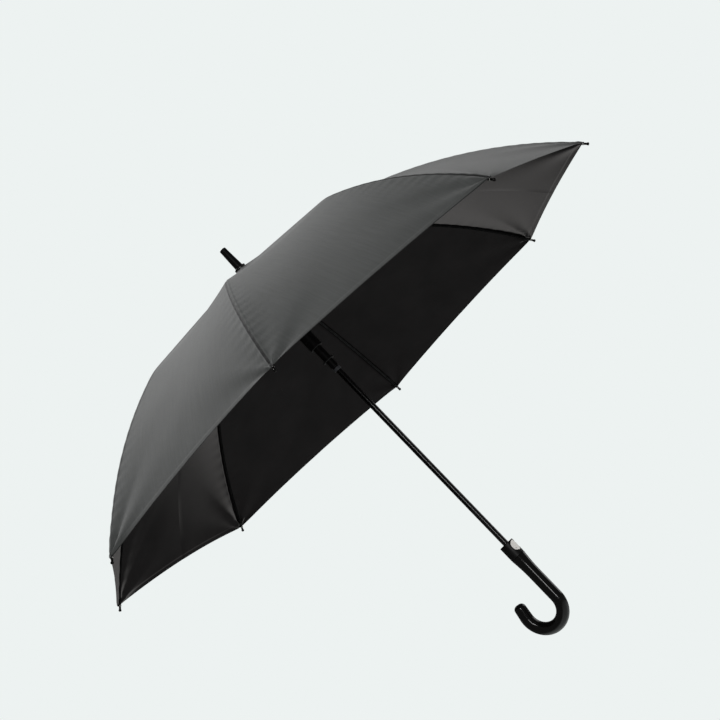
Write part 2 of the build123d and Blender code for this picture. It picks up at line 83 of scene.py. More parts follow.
# ---------------------------------------------------------------- places read from the frame
MM = 0.001
RIB_COUNT = 8
SECTOR = 2 * pi / RIB_COUNT
JOINTS = {joint["name"]: joint for joint in frame["joints"]}


def joint_place(name):
    """Radius and height of a joint."""
    x, y, z = JOINTS[name]["pos_m"]
    return hypot(x, y), z


HINGE_RADIUS, CROWN_HEIGHT = joint_place("canopy_fold")
KNEE_RADIUS, KNEE_HEIGHT = joint_place("rib_1_flex")
FIRST_AZIMUTH = atan2(JOINTS["canopy_fold"]["pos_m"][1], JOINTS["canopy_fold"]["pos_m"][0])
RIB_SLOPE = atan2(CROWN_HEIGHT - KNEE_HEIGHT, KNEE_RADIUS - HINGE_RADIUS)
INNER_LENGTH = hypot(CROWN_HEIGHT - KNEE_HEIGHT, KNEE_RADIUS - HINGE_RADIUS)
OUTER_LENGTH = 328 * MM
KNEE_BEND = radians(10.3)
RIB_BEND = radians(25)
OUTER_START = RIB_SLOPE + KNEE_BEND
BEND_RADIUS = OUTER_LENGTH / RIB_BEND
BEND_CENTRE = Vector(
    (KNEE_RADIUS - BEND_RADIUS * sin(OUTER_START), KNEE_HEIGHT - BEND_RADIUS * cos(OUTER_START))
)
CLOTH_START = 6.4 * MM  # radius of the hole at the crown
CROWN_LENGTH = (CLOTH_START - HINGE_RADIUS) / cos(RIB_SLOPE)  # below zero: the hole is inside the hinges
CORNER_SETBACK = 3 * MM  # rib end beyond the cloth's corner
CROWN_LIFT = 4 * MM  # the cloth rises to the ferrule by this, above the ribs' own line
CROWN_REACH = 60 * MM  # radius at which that rise begins
KNEE_EASE = 14 * MM  # the cloth turns over the knee within this length to each side
SPIGOT_LENGTH = 6 * MM  # rib's end inside its tip
STRAP_RIB = 3
STRAP_START = 150 * MM  # from the knee to the strap's upper end
STRAP_LENGTH, STRAP_WIDTH, STRAP_THICKNESS = 130 * MM, 18 * MM, 0.8 * MM


def rib_azimuth(number):
    """Azimuth of a rib, counted from 1."""
    return FIRST_AZIMUTH + (number - 1) * SECTOR


def outward(azimuth, radius=1.0, height=0.0):
    """Point at this radius and height, on a vertical plane through the shaft."""
    return Vector((radius * cos(azimuth), radius * sin(azimuth), height))


def over_inner(length, rise):
    """Radius and height over the straight inner rib, this far from its hinge."""
    return Vector(
        (
            HINGE_RADIUS + length * cos(RIB_SLOPE) + rise * sin(RIB_SLOPE),
            CROWN_HEIGHT - length * sin(RIB_SLOPE) + rise * cos(RIB_SLOPE),
        )
    )


def over_outer(length, rise):
    """Radius and height over the bent outer rib, this far past the knee."""
    angle = OUTER_START + length / BEND_RADIUS
    return BEND_CENTRE + (BEND_RADIUS + rise) * Vector((sin(angle), cos(angle)))


def over_rib(length, rise):
    """Radius and height of a line over the whole rib, which turns softly over the knee."""
    past = length - INNER_LENGTH
    if past <= -KNEE_EASE:
        place = over_inner(length, rise)
        to_crown = max(0.0, (CROWN_REACH - place.x) / (CROWN_REACH - CLOTH_START))
        place.y += CROWN_LIFT * to_crown**1.3
        return place
    if past >= KNEE_EASE:
        return over_outer(past, rise)
    middle = RIB_SLOPE + KNEE_BEND / 2
    away = Vector((sin(middle), cos(middle)))
    corner = Vector((KNEE_RADIUS, KNEE_HEIGHT)) + rise / cos(KNEE_BEND / 2) * away
    share = (past + KNEE_EASE) / (2 * KNEE_EASE)
    start, end = over_inner(INNER_LENGTH - KNEE_EASE, rise), over_outer(KNEE_EASE, rise)
    return (1 - share) ** 2 * start + 2 * share * (1 - share) * corner + share**2 * end


# ---------------------------------------------------------------- settings
def linear(hex_colour):
    """sRGB hex colour as linear red, green, blue and alpha."""
    parts = [int(hex_colour[place : place + 2], 16) / 255 for place in (1, 3, 5)]
    return tuple(p / 12.92 if p <= 0.04045 else ((p + 0.055) / 1.055) ** 2.4 for p in parts) + (1.0,)


def colour_property(name, description, hex_colour):
    """Colour setting with its default as an sRGB hex value."""
    return FloatVectorProperty(
        name=name, description=description, subtype="COLOR", size=4, min=0, max=1, default=linear(hex_colour)
    )


def length_property(name, description, default):
    """Length setting in metres."""
    return FloatProperty(name=name, description=description, default=default, unit="LENGTH", precision=5)


def power_property(name, description, default):
    """Lamp power setting in watts."""
    return FloatProperty(name=name, description=description, default=default, unit="POWER")


class CanopyProperties(PropertyGroup):
    """Cloth of the canopy and its strap."""

    cloth_colour: colour_property("Cloth", "Woven face of the canopy", "#525453")
    lining_colour: colour_property("Coating", "Black coating on the inside of the canopy", "#201E1E")
    thickness: length_property("Thickness", "Thickness of the coated cloth", 0.4 * MM)
    rise: length_property("Rise", "Outer face of the cloth above the ribs' centre line", 3.0 * MM)
    sag: length_property("Sag", "Depth of the hollow between two ribs", 6 * MM)
    scallop: length_property("Scallop", "Depth of the hem's hollow between two tips", 7.5 * MM)
    seam_fold: length_property("Seam fold", "Width of the flat-felled fold beside a seam", 5.0 * MM)
    hem_fold: length_property("Hem", "Width of the folded hem", 7.0 * MM)
    weave_pitch: length_property("Weave", "Spacing of the threads that are drawn", 1.1 * MM)


class FittingProperties(PropertyGroup):
    """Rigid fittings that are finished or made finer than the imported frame."""

    lacquer_colour: colour_property("Lacquer", "Black lacquer of shaft and ribs", "#0E0D0D")
    plastic_colour: colour_property("Plastic", "Black plastic of handle, runner and ferrule", "#0B0A0A")
    button_colour: colour_property("Button", "Satin silver of the push button", "#C9C7C3")
    ring_colour: colour_property("Catch ring", "Grey nylon of the runner's catch ring", "#434448")
    button_crown: length_property("Button crown", "How far the button's face bulges", 0.9 * MM)
    coil_pitch: length_property("Coil pitch", "Pitch of the opening spring at rest", 7.5 * MM)


class StageProperties(PropertyGroup):
    """Studio round the umbrella."""

    backdrop_colour: colour_property("Backdrop", "Pale backdrop and floor", "#EDF2F1")
    ambient: FloatProperty(
        name="Ambient", description="Strength of the soft surrounding light", default=0.36
    )
    mirrored: FloatProperty(
        name="Mirrored", description="How bright the room looks in gloss", default=0.07
    )
    key_power: power_property("Key", "Power of the main softbox, behind the canopy", 62)
    side_power: power_property("Side", "Power of the softbox that the button mirrors", 2.6)
    strip_power: power_property("Strip", "Power of the strip that the gloss mirrors", 9)
    floor_drop: length_property("Floor", "Floor below the crook's lowest point", 0.6)
    floor_radius: length_property("Floor radius", "Where the floor has faded into the backdrop", 1.6)
    lens: FloatProperty(name="Lens", description="Focal length", default=83.578, unit="CAMERA")
    camera_place: FloatVectorProperty(
        name="Camera",
        description="Camera from the middle of the hem's plane",
        subtype="XYZ",
        default=(1.264, -2.2907, -0.3918),
    )
    camera_turn: FloatVectorProperty(
        name="Camera turn",
        description="Camera's rotation",
        subtype="EULER",
        default=(radians(101.981), radians(43.465), radians(36.414)),
    )


# ---------------------------------------------------------------- shared helpers
def add_node(tree, kind, inputs=None, **settings):
    """Add a node with its settings; inputs holds a value or another node's output for each socket."""
    node = tree.nodes.new(kind)
    for name, value in settings.items():
        setattr(node, name, value)
    for socket, value in (inputs or {}).items():
        if isinstance(value, bpy.types.NodeSocket):
            tree.links.new(value, node.inputs[socket])
        else:
            node.inputs[socket].default_value = value
    return node


def new_material(name, **surface):
    """Material with one Principled surface; surface gives its sockets, such as Base_Color."""
    material = bpy.data.materials.new(name)
    material.use_nodes = True
    shader = material.node_tree.nodes["Principled BSDF"]
    for socket, value in surface.items():
        shader.inputs[socket.replace("_", " ")].default_value = value
    return material, material.node_tree, shader


def mottle(tree, source, low, high, inputs, **settings):
    """Noise turned into a soft ramp between two grey values or colours."""
    grain = add_node(tree, "ShaderNodeTexNoise", {"Vector": source, **inputs}, **settings)
    ramp = add_node(tree, "ShaderNodeValToRGB", {"Fac": grain.outputs["Fac"]})
    ramp.color_ramp.elements[0].position = 0.3
    ramp.color_ramp.elements[1].position = 0.7
    ramp.color_ramp.elements[0].color = low
    ramp.color_ramp.elements[1].color = high
    return ramp.outputs["Color"]


def grey(value):
    """Grey colour of one linear value."""
    return (value, value, value, 1.0)


def shaded(colour, share):
    """Colour scaled in brightness."""
    return tuple(channel * share for channel in colour[:3]) + (1.0,)


def per_metre(size):
    """Noise scale whose features are about this many metres wide."""
    return 1 / size


def band_scale(pitch):
    """Wave texture scale for bands at this pitch in metres; at scale 1 a wave turns 20 radians per metre."""
    return 2 * pi / 20 / pitch


def new_piece(name, bm, materials, body):
    """Make a smooth-shaded object of a finished bmesh and let it ride on a body."""
    for face in bm.faces:
        face.smooth = True
    mesh = bpy.data.meshes.new(name)
    bm.to_mesh(mesh)
    bm.free()
    for material in materials:
        mesh.materials.append(material)
    piece = bpy.data.objects.new(name, mesh)
    bpy.context.scene.collection.objects.link(piece)
    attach(piece, body)
    return piece


def gloss_black(name, colour, roughness, coat, grain, depth):
    """Black surface with a faint unevenness, for lacquer and moulded plastic."""
    material, tree, shader = new_material(
        name,
        Base_Color=colour,
        Roughness=roughness,
        Specular_IOR_Level=0.35,
        Coat_Weight=coat,
        Coat_Roughness=0.06,
    )
    place = add_node(tree, "ShaderNodeTexCoord").outputs["Object"]
    patches, smears = {"Scale": per_metre(30 * MM)}, {"Scale": per_metre(8 * MM), "Detail": 6.0}
    tint = mottle(tree, place, shaded(colour, 0.8), shaded(colour, 1.25), patches)
    tree.links.new(tint, shader.inputs["Base Color"])
    smear = mottle(tree, place, grey(roughness * 0.8), grey(roughness * 1.25), smears)
    tree.links.new(smear, shader.inputs["Roughness"])
    height = add_node(tree, "ShaderNodeTexNoise", {"Vector": place, "Scale": per_metre(grain), "Detail": 4.0})
    relief = add_node(tree, "ShaderNodeBump", {"Height": height.outputs["Fac"], "Distance": depth})
    tree.links.new(relief.outputs["Normal"], shader.inputs["Normal"])
    return material


def edge_shade(tree, distance, reach, stops):
    """Grey shade over a distance from an edge, from stops of share and value."""
    share = add_node(tree, "ShaderNodeMath", {0: distance, 1: reach}, operation="DIVIDE")
    ramp = add_node(tree, "ShaderNodeValToRGB", {"Fac": share.outputs["Value"]})
    elements = ramp.color_ramp.elements
    elements[0].position, elements[0].color = stops[0][0], grey(stops[0][1])
    elements[1].position, elements[1].color = stops[-1][0], grey(stops[-1][1])
    for place, value in stops[1:-1]:
        elements.new(place).color = grey(value)
    return ramp.outputs["Color"]


# ---------------------------------------------------------------- finishes
def pongee_face(settings):
    """Plain-woven pongee polyester, dyed charcoal: a soft matt grey with a slight cool sheen, stitched
    seams with painted shade in their grooves and a painted highlight beside them, and a folded hem."""
    colour = tuple(settings.cloth_colour)
    material, tree, shader = new_material(
        "pongee_polyester_woven",
        Roughness=0.82,
        Sheen_Weight=0.18,
        Sheen_Roughness=0.4,
        Specular_IOR_Level=0.25,
    )
    cloth = add_node(tree, "ShaderNodeUVMap", uv_map="cloth").outputs["UV"]
    edges = add_node(tree, "ShaderNodeUVMap", uv_map="edges").outputs["UV"]
    distance = add_node(tree, "ShaderNodeSeparateXYZ", {"Vector": edges})
    # threads of 0.2 mm are too fine to show, so the weave is drawn at its setting's pitch
    threads = {"Vector": cloth, "Scale": band_scale(settings.weave_pitch), "Distortion": 0.6}
    warp = add_node(tree, "ShaderNodeTexWave", threads, bands_direction="X")
    weft = add_node(tree, "ShaderNodeTexWave", threads, bands_direction="Y")
    weave = add_node(
        tree, "ShaderNodeMath", {0: warp.outputs["Fac"], 1: weft.outputs["Fac"]}, operation="MULTIPLY"
    )
    # uneven dye and thread thickness, as faint streaks along the warp
    stretch = add_node(tree, "ShaderNodeMapping", {"Vector": cloth, "Scale": (1.0, 0.04, 1.0)})
    thin, broad = {"Scale": per_metre(3 * MM)}, {"Scale": per_metre(140 * MM), "Detail": 3.0}
    shade = mottle(tree, stretch.outputs["Vector"], shaded(colour, 0.93), shaded(colour, 1.07), thin)
    clouds = mottle(tree, cloth, grey(0.92), grey(1.06), broad)
    # painted shade in each stitched seam's groove, and a painted highlight on the fold's edge beside it
    seam_painted_light_stops = ((0.0, 0.1), (0.2, 0.14), (0.34, 0.8), (0.44, 0.96), (0.62, 0.8))
    seam = edge_shade(tree, distance.outputs["X"], 8 * MM, seam_painted_light_stops)
    # dark hem edge, and a faint line where the hem's fold ends
    hem_stops = ((0.0, 0.3), (0.1, 0.35), (0.2, 1.0), (0.62, 1.0), (0.7, 0.84), (0.78, 1.0))
    hem = edge_shade(tree, distance.outputs["Y"], 10 * MM, hem_stops)
    for layer in (clouds, seam, hem):
        mixed = add_node(
            tree,
            "ShaderNodeMix",
            {"Factor": 1.0, "A": shade, "B": layer},
            data_type="RGBA",
            blend_type="MULTIPLY",
        )
        shade = mixed.outputs["Result"]
    # the seam's shade ends at 0.8, and this brings the cloth beyond it back to its own dye
    full = add_node(tree, "ShaderNodeVectorMath", {0: shade, "Scale": 1 / 0.8}, operation="SCALE")
    tree.links.new(full.outputs["Vector"], shader.inputs["Base Color"])
    relief = add_node(
        tree, "ShaderNodeBump", {"Height": weave.outputs["Value"], "Strength": 0.6, "Distance": 0.12 * MM}
    )
    tree.links.new(relief.outputs["Normal"], shader.inputs["Normal"])
    return material


def coated_lining(settings):
    """Black polyurethane coating on the cloth's inside: near black, with a painted grazing sheen and painted
    shade along its seams.
    """
    colour = tuple(settings.lining_colour)
    material, tree, shader = new_material(
        "pu_coating_spread", Base_Color=colour, Roughness=0.55, Specular_IOR_Level=0.08
    )
    cloth = add_node(tree, "ShaderNodeUVMap", uv_map="cloth").outputs["UV"]
    smears = {"Scale": per_metre(60 * MM), "Detail": 4.0}
    tint = mottle(tree, cloth, shaded(colour, 0.95), shaded(colour, 1.3), smears)
    # painted sheen: the coating's colour is lifted towards a pale grey where it is seen at a low angle,
    # standing in for a grazing reflection
    facing = add_node(tree, "ShaderNodeLayerWeight", {"Blend": 0.5})
    painted_sheen_share = add_node(
        tree,
        "ShaderNodeMapRange",
        {"Value": facing.outputs["Facing"], "From Min": 0.45, "From Max": 0.7, "To Min": 0.0, "To Max": 1.0},
        interpolation_type="SMOOTHSTEP",
    )
    painted_sheen_colour = add_node(
        tree,
        "ShaderNodeMix",
        {"Factor": painted_sheen_share.outputs["Result"], "A": tint, "B": linear("#7A7776")},
        data_type="RGBA",
    )
    # painted shade darkens the coating within a few millimetres of each seam, beside the rib that runs under it
    edges = add_node(tree, "ShaderNodeUVMap", uv_map="edges").outputs["UV"]
    from_seam = add_node(tree, "ShaderNodeSeparateXYZ", {"Vector": edges}).outputs["X"]
    seam_painted_shade = edge_shade(tree, from_seam, 10 * MM, ((0.0, 0.15), (0.3, 0.2), (0.42, 1.0), (1.0, 1.0)))
    with_seam_painted_shade = add_node(
        tree,
        "ShaderNodeMix",
        {"Factor": 1.0, "A": painted_sheen_colour.outputs["Result"], "B": seam_painted_shade},
        data_type="RGBA",
        blend_type="MULTIPLY",
    )
    tree.links.new(with_seam_painted_shade.outputs["Result"], shader.inputs["Base Color"])
    threads = {"Vector": cloth, "Scale": band_scale(settings.weave_pitch), "Distortion": 0.5}
    weave = add_node(tree, "ShaderNodeTexWave", threads)
    relief = add_node(
        tree, "ShaderNodeBump", {"Height": weave.outputs["Fac"], "Strength": 0.5, "Distance": 0.05 * MM}
    )
    tree.links.new(relief.outputs["Normal"], shader.inputs["Normal"])
    return material


def satin_button(settings):
    """ABS with satin chrome plating: bright silver with a fine soft grain."""
    material, tree, shader = new_material(
        "abs_satin_chrome_plated", Base_Color=tuple(settings.button_colour), Metallic=1.0, Roughness=0.3
    )
    place = add_node(tree, "ShaderNodeTexCoord").outputs["Object"]
    grain = mottle(tree, place, grey(0.24), grey(0.36), {"Scale": per_metre(0.6 * MM), "Detail": 3.0})
    tree.links.new(grain, shader.inputs["Roughness"])
    height = add_node(tree, "ShaderNodeTexNoise", {"Vector": place, "Scale": per_metre(0.5 * MM)})
    relief = add_node(
        tree, "ShaderNodeBump", {"Height": height.outputs["Fac"], "Strength": 0.4, "Distance": 0.01 * MM}
    )
    tree.links.new(relief.outputs["Normal"], shader.inputs["Normal"])
    return material


def bare_metal(name, hex_colour, roughness, grain):
    """Plain metal with a fine drawn or plated grain."""
    colour = linear(hex_colour)
    material, tree, shader = new_material(name, Base_Color=colour, Metallic=1.0, Roughness=roughness)
    place = add_node(tree, "ShaderNodeTexCoord").outputs["Object"]
    fine, coarse = {"Scale": per_metre(grain), "Detail": 5.0}, {"Scale": per_metre(4 * grain)}
    wear = mottle(tree, place, grey(roughness * 0.75), grey(roughness * 1.3), fine)
    tree.links.new(wear, shader.inputs["Roughness"])
    tint = mottle(tree, place, shaded(colour, 0.85), shaded(colour, 1.1), coarse)
    tree.links.new(tint, shader.inputs["Base Color"])
    return material


def woven_ribbon(settings):
    """Polyester grosgrain ribbon: fine cross ribs, a shade darker than the cloth."""
    colour = shaded(tuple(settings.cloth_colour), 0.8)
    material, tree, shader = new_material("polyester_grosgrain_woven", Roughness=0.75, Sheen_Weight=0.2)
    cloth = add_node(tree, "ShaderNodeUVMap", uv_map="cloth").outputs["UV"]
    cross_ribs = {"Vector": cloth, "Scale": band_scale(1.0 * MM)}
    ribs = add_node(tree, "ShaderNodeTexWave", cross_ribs, bands_direction="Y")
    # painted light: each cross rib is painted lighter on its top and darker in the valley beside it, following
    # the ribs' bump
    shade = add_node(
        tree,
        "ShaderNodeMix",
        {"Factor": ribs.outputs["Fac"], "A": shaded(colour, 0.7), "B": shaded(colour, 1.1)},
        data_type="RGBA",
    )
    tree.links.new(shade.outputs["Result"], shader.inputs["Base Color"])
    relief = add_node(
        tree, "ShaderNodeBump", {"Height": ribs.outputs["Fac"], "Strength": 0.8, "Distance": 0.15 * MM}
    )
    tree.links.new(relief.outputs["Normal"], shader.inputs["Normal"])
    return material


def natural_nylon(settings):
    """Nylon moulded without a gloss: an even, slightly milky grey."""
    colour = tuple(settings.ring_colour)
    material, tree, shader = new_material("nylon_natural_grey_moulded", Base_Color=colour, Roughness=0.5)
    place = add_node(tree, "ShaderNodeTexCoord").outputs["Object"]
    tint = mottle(tree, place, shaded(colour, 0.9), shaded(colour, 1.1), {"Scale": per_metre(5 * MM)})
    tree.links.new(tint, shader.inputs["Base Color"])
    return material


def frame_finishes(settings):
    """One finish for each of the frame's rigid material slots."""
    lacquer, plastic = tuple(settings.lacquer_colour), tuple(settings.plastic_colour)
    rib_lacquer = shaded(lacquer, 0.5)
    faint, slight, shallow_sink = 0.01 * MM, 0.02 * MM, 0.03 * MM
    return {
        # electrophoretic black on pressed steel: thin, satin, slightly uneven
        "rib_steel": gloss_black("steel_channel_black_lacquered", rib_lacquer, 0.6, 0.0, 1.5 * MM, faint),
        "stretcher_steel": gloss_black("steel_strut_black_lacquered", lacquer, 0.4, 0.0, 1.5 * MM, faint),
        # sprayed gloss black on a steel tube: sharp bright streaks down its sides
        "shaft_paint": gloss_black("steel_tube_gloss_black_sprayed", lacquer, 0.22, 0.6, 12 * MM, faint),
        # injection-moulded ABS polished in the tool: deep black with wet highlights
        "crook_plastic": gloss_black("abs_gloss_black_moulded", plastic, 0.16, 0.5, 18 * MM, shallow_sink),
        # spark-textured ABS: even satin black
        "housing_plastic": gloss_black("abs_satin_black_textured", plastic, 0.42, 0.0, 0.7 * MM, slight),
        # nylon and acetal slide well and stay a little waxy, semi-gloss ABS shows a soft edge light
        "runner_plastic": gloss_black("nylon_black_moulded", plastic, 0.34, 0.0, 3 * MM, faint),
        "ferrule_plastic": gloss_black("abs_semi_gloss_black_moulded", plastic, 0.28, 0.2, 6 * MM, faint),
        "inner_plastic": gloss_black("acetal_black_moulded", plastic, 0.45, 0.0, 2 * MM, faint),
        "catch_ring_plastic": natural_nylon(settings),
        # plated and drawn metals: dark nickel, dull zinc, oiled wire and gunmetal
        "tip_steel": bare_metal("steel_black_nickel_plated", "#2A2928", 0.34, 2 * MM),
        "wire_steel": bare_metal("steel_wire_zinc_plated", "#8C8C8A", 0.35, 2 * MM),
        "spring_steel": bare_metal("spring_steel_drawn_wire", "#1E1C1B", 0.5, 1 * MM),
        "snap_metal": bare_metal("brass_gunmetal_plated", "#3B3A39", 0.3, 2 * MM),
    }


# ---------------------------------------------------------------- cloth
def smooth_step(value, low, high):
    """0 below low, 1 above high and a soft rise between."""
    share = min(1.0, max(0.0, (value - low) / (high - low)))
    return share * share * (3 - 2 * share)


def hem_length(gore, across, settings):
    """Length of the gore from the ribs' hinge to its hem, at a place across."""
    uneven = 1 - 0.35 * cos(rib_azimuth(gore) - FIRST_AZIMUTH)
    hollow = uneven * settings.scallop * 4 * across * (1 - across)
    return INNER_LENGTH + OUTER_LENGTH - CORNER_SETBACK - hollow


def fold_relief(from_seam, from_hem, across, settings):
    """Raised seam fold and hem fold, and the grooves beside them."""
    fold_height, groove_depth, hem_height = 0.55 * MM, 0.9 * MM, 0.4 * MM
    fold_start = smooth_step(from_seam, 0.9 * MM, 1.7 * MM)
    fold_end = smooth_step(from_seam, settings.seam_fold, settings.seam_fold + 1 * MM)
    # the fold lies on one side of the seam only
    felled = fold_height * (fold_start - fold_end) if across <= 0.5 else 0.0
    groove = groove_depth * (1 - smooth_step(from_seam, 0.3 * MM, 2.0 * MM))
    hem = hem_height * (1 - smooth_step(from_hem, settings.hem_fold, settings.hem_fold + 1.5 * MM))
    return felled - groove + hem


def pucker_relief(gore, length, from_seam, from_hem, across):
    """Small waves that the thread pulls beside a seam, and folds that fan out of a hem corner."""
    wave_height, wave_pitch, fan_height, crease_depth = 0.5 * MM, 21 * MM, 2.4 * MM, 1.8 * MM
    # every gore and side starts its waves somewhere else
    phase = 2.3 * gore + (0.0 if across < 0.5 else 1.7)
    beside = (1 - exp(-from_seam / (3 * MM))) * exp(-from_seam / (16 * MM))
    grown = smooth_step(length, 0.1, INNER_LENGTH + OUTER_LENGTH)
    wander = 1.5 * noise.noise(Vector((length / 0.05, phase, 0.0)))
    waves = wave_height * beside * grown * sin(2 * pi * length / wave_pitch + phase + wander)
    reach = hypot(from_seam, from_hem)
    turn = atan2(from_seam, from_hem)
    fade = exp(-reach / (75 * MM)) * (1 - exp(-reach / (10 * MM))) * smooth_step(from_seam, 0.0, 5 * MM)
    fan = fan_height * fade * cos(6.5 * turn + 1.3 * phase)
    # one sharp crease runs up from the corner, at 0.62 radians from the seam
    beside_crease = exp(-((turn - 0.62) / 0.09) ** 2)
    crease = crease_depth * exp(-reach / (45 * MM)) * smooth_step(reach, 0, 8 * MM) * beside_crease
    return waves + fan - crease


def sag_relief(gore, length, across, settings):
    """Hollow between the ribs, and broad soft unevenness of tensioned cloth."""
    share = min(1.0, max(0.0, length / (INNER_LENGTH + OUTER_LENGTH)))
    bow = 4 * across * (1 - across)
    hollow = settings.sag * sin(pi * share**0.9) ** 0.75 * bow
    soft = noise.noise(Vector((1.8 * across, 3.0 * share, 5.3 * gore)))
    return -hollow + 1.6 * MM * soft * bow * sin(pi * share)


def gore_point(gore, length, across, settings):
    """Place on a gore's outer face: along the ribs from their hinge, and across from 0 to 1."""
    low, high = over_rib(length - MM, settings.rise), over_rib(length + MM, settings.rise)
    radius, height = over_rib(length, settings.rise)
    first = rib_azimuth(gore)
    level = outward(first, radius, height).lerp(outward(first + SECTOR, radius, height), across)
    run, drop = (high[0] - low[0]) * cos(SECTOR / 2), low[1] - high[1]
    normal = outward(first + SECTOR / 2, drop, run).normalized()
    chord = 2 * radius * sin(SECTOR / 2)
    from_seam = chord * min(across, 1 - across)
    from_hem = hem_length(gore, across, settings) - length
    relief = (
        sag_relief(gore, length, across, settings)
        + pucker_relief(gore, length, from_seam, from_hem, across)
        + fold_relief(from_seam, from_hem, across, settings)
    )
    return level + relief * normal, ((across - 0.5) * chord, length), (from_seam, from_hem)


def graded(share, dense_share, dense_size, whole):
    """Distance from a cloth edge with a share of the rows packed into its first millimetres."""
    dense = min(dense_size, whole * 0.35)
    if share < dense_share:
        return share / dense_share * dense
    return dense + (share - dense_share) / (1 - dense_share) * (whole - dense)


def cloth_half(name, gore, second, outer, materials, settings):
    """Quarter of a gore: one side of its middle, and inside or outside the knee."""
    columns, rows = (36, 84) if outer else (36, 56)
    bm = bmesh.new()
    cloth_map = bm.loops.layers.uv.new("cloth")
    edge_map = bm.loops.layers.uv.new("edges")
    bmesh.ops.create_grid(bm, x_segments=columns, y_segments=rows, size=0.5)
    maps = {}
    for vert in bm.verts:
        column, row = 0.5 + vert.co.x, 0.5 - vert.co.y
        if second:
            column = 1 - column
        if outer:
            guess = INNER_LENGTH + OUTER_LENGTH * row
        else:
            guess = CROWN_LENGTH + (INNER_LENGTH - CROWN_LENGTH) * row
        chord = 2 * over_rib(guess, settings.rise)[0] * sin(SECTOR / 2)
        across = graded(column, 0.28, 9 * MM, chord / 2) / chord
        if outer:
            whole = hem_length(gore, 1 - across if second else across, settings) - INNER_LENGTH
            length = INNER_LENGTH + whole - graded(1 - row, 0.12, 12 * MM, whole)
        else:
            length = guess
        if second:
            across = 1 - across
        vert.co, cloth_place, edge_place = gore_point(gore, length, across, settings)
        maps[vert] = (cloth_place, edge_place)
    for face in bm.faces:
        for loop in face.loops:
            loop[cloth_map].uv, loop[edge_map].uv = maps[loop.vert]
    for edge in bm.edges:
        edge.smooth = not edge.is_boundary
    rib = gore % RIB_COUNT + 1 if second else gore
    piece = new_piece(name, bm, materials, f"rib_outer_{rib}" if outer else f"rib_{rib}")
    wall = piece.modifiers.new("Coated thickness", "SOLIDIFY")
    wall.thickness = settings.thickness
    wall.offset = -1
    wall.material_offset = 1
    return piece, rib


def gather_in(piece):
    """Give the cloth piece a mesh of its own."""
    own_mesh(piece)


class UMBRELLA_OT_canopy(Operator):
    """Sew the eight gores, each in four pieces that ride on the ribs"""

    bl_idname = "umbrella.canopy"
    bl_label = "Canopy"

    def execute(self, context):
        settings = context.scene.umbrella_canopy
        materials = [pongee_face(settings), coated_lining(settings)]
        knee_half = over_rib(INNER_LENGTH, settings.rise)[0] * sin(SECTOR / 2)
        hem_half = over_rib(INNER_LENGTH + OUTER_LENGTH - CORNER_SETBACK, settings.rise)[0] * sin(SECTOR / 2)
        for gore in range(1, RIB_COUNT + 1):
            for second in (False, True):
                for outer in (False, True):
                    where = "outer" if outer else "inner"
                    name = f"gore_{gore}_{where}_{'b' if second else 'a'}"
                    piece, rib = cloth_half(name, gore, second, outer, materials, settings)
                    gather_in(piece)
                    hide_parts(f"canopy_panel_{gore}")
        return {"FINISHED"}


class UMBRELLA_OT_strap(Operator):
    """Lay the ribbon strap along its seam"""

    bl_idname = "umbrella.strap"
    bl_label = "Tie Strap"

    def execute(self, context):
        settings = context.scene.umbrella_canopy
        bm = bmesh.new()
        cloth_map = bm.loops.layers.uv.new("cloth")
        bmesh.ops.create_grid(bm, x_segments=12, y_segments=60, size=0.5)
        azimuth = rib_azimuth(STRAP_RIB)
        tangent = Vector((-sin(azimuth), cos(azimuth), 0))
        flat = {}
        for vert in bm.verts:
            side, row = vert.co.x, 0.5 - vert.co.y
            flat[vert] = (side * STRAP_WIDTH, row * STRAP_LENGTH)
            ripple = 0.25 * MM * sin(9 * pi * row) * sin(pi * row)
            selvedge = 0.2 * MM * smooth_step(abs(side), 0.4, 0.46)
            droop = 1.1 * MM * (2 * side) ** 2
            rise = settings.rise + 0.5 * MM + STRAP_THICKNESS + ripple + selvedge - droop
            end = 4 * MM * (2 * side) ** 2 * smooth_step(row, 0.9, 1.0)
            radius, height = over_outer(STRAP_START + row * STRAP_LENGTH - end, rise)
            vert.co = outward(azimuth, radius, height) + side * STRAP_WIDTH * tangent
        for face in bm.faces:
            for loop in face.loops:
                loop[cloth_map].uv = flat[loop.vert]
        strap = new_piece("tie_strap_ribbon", bm, [woven_ribbon(settings)], f"rib_outer_{STRAP_RIB}")
        wall = strap.modifiers.new("Ribbon thickness", "SOLIDIFY")
        wall.thickness = STRAP_THICKNESS
        wall.offset = -1
        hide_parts("tie_strap")
        return {"FINISHED"}


# ---------------------------------------------------------------- fittings
def coil(bm, centre, axis, radius, wire, length, pitch, steps=14):
    """Wind a coil of round wire from centre along axis, as a circle spun and drawn along together."""
    axis = Vector(axis).normalized()
    side = axis.orthogonal().normalized()
    turns = max(3, round(length / pitch))
    ring = bmesh.ops.create_circle(bm, segments=6, radius=wire)["verts"]
    turn = Matrix((side, axis, side.cross(axis))).transposed().to_4x4()
    bmesh.ops.transform(bm, matrix=Matrix.Translation(Vector(centre) + radius * side) @ turn, verts=ring)
    edges = list({edge for vert in ring for edge in vert.link_edges})
    bmesh.ops.spin(
        bm,
        geom=ring + edges,
        cent=centre,
        axis=axis,
        dvec=axis * length / (turns * steps),
        angle=2 * pi * turns,
        steps=turns * steps,
        use_merge=False,
        use_duplicate=False,
    )


